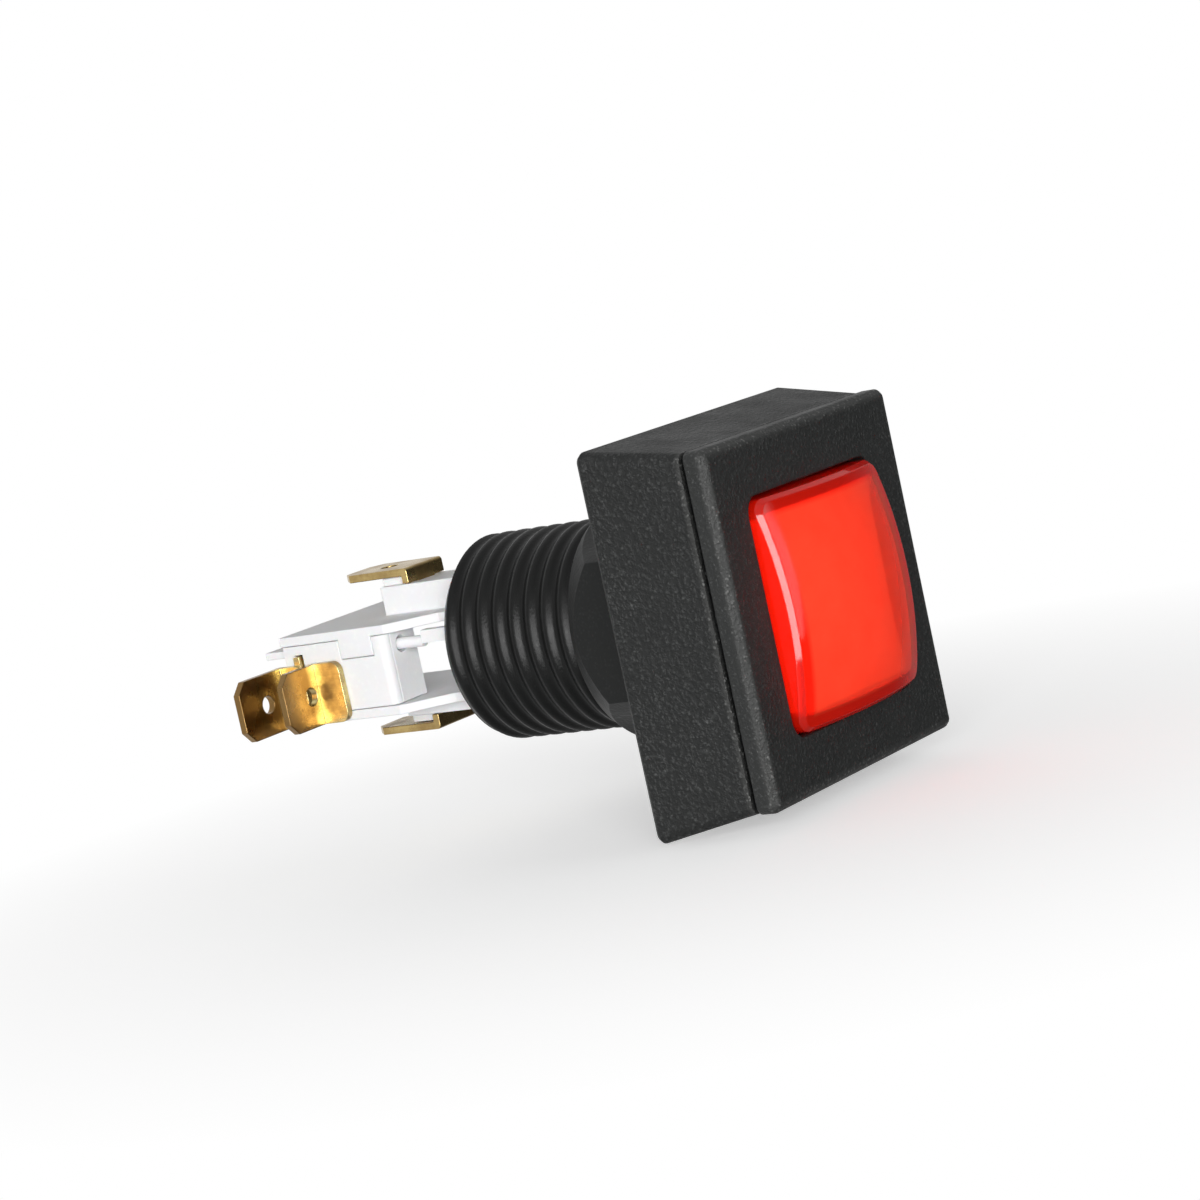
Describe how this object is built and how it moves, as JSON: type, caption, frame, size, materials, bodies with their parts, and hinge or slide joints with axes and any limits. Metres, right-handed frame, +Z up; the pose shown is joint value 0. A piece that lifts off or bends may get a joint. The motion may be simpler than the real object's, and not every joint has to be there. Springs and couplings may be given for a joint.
{
  "type": "illuminated push button",
  "caption": "Square panel push button with a crowned translucent cap, flared bezel, threaded barrel with nut, and a plug-in lamp and contact unit with blade terminals.",
  "frame": {"origin": "on the button's axis, in the plane where the housing's back meets the panel", "axes": "-Y is where the button faces, +Y runs along the barrel to the terminals, +Z is up, and the switch module is on the -X side"},
  "size_m": [0.0288, 0.0514, 0.0288],
  "materials": {
    "black_plastic": "spark-eroded",
    "red_lens": "clear moulded",
    "diffuser_white": "milky",
    "white_plastic": "smooth moulded",
    "brass": "stamped strip",
    "lamp_shell": "nickel plated",
    "clear_glass": "clear",
    "spring_steel": "drawn wire",
    "contact_silver": "rivet",
    "black_rubber": "matt"
  },
  "bodies": {
    "root": {"bezel_housing": "black_plastic", "front_frame": "black_plastic", "mounting_nut": "black_plastic", "sealing_gasket": "black_rubber", "return_spring": "spring_steel", "contact_carrier": "white_plastic", "lamp_bulb": "clear_glass", "lamp_base": "lamp_shell", "lamp_terminal_top": "brass", "lamp_terminal_bottom": "brass", "switch_body": "white_plastic", "switch_cover": "white_plastic", "fixed_contact_lower": "contact_silver", "fixed_contact_upper": "contact_silver", "contact_spring": "spring_steel", "switch_terminal_front": "brass", "switch_terminal_rear": "brass"},
    "button": {"lens_cap": "red_lens", "diffuser_plate": "diffuser_white", "plunger": "white_plastic"},
    "contact_unit": {"contact_slider": "white_plastic", "contact_bridge": "brass", "bridge_contact_lower": "contact_silver", "bridge_contact_upper": "contact_silver"}
  },
  "joints": [
    {"name": "button_press", "type": "slide", "parent": "root", "child": "button", "axis": [0, 1, 0], "range_m": [0, 0.0022], "stiffness_N_per_m": 600, "springref_m": -0.002, "deforming": ["return_spring"]},
    {"name": "contact_travel", "type": "slide", "parent": "root", "child": "contact_unit", "axis": [0, 1, 0], "range_m": [0, 0.0022], "stiffness_N_per_m": 120, "springref_m": -0.001, "deforming": ["contact_spring"]}
  ],
  "couplings": [
    {"joint": "contact_travel", "follows": "button_press", "ratio": 1}
  ]
}
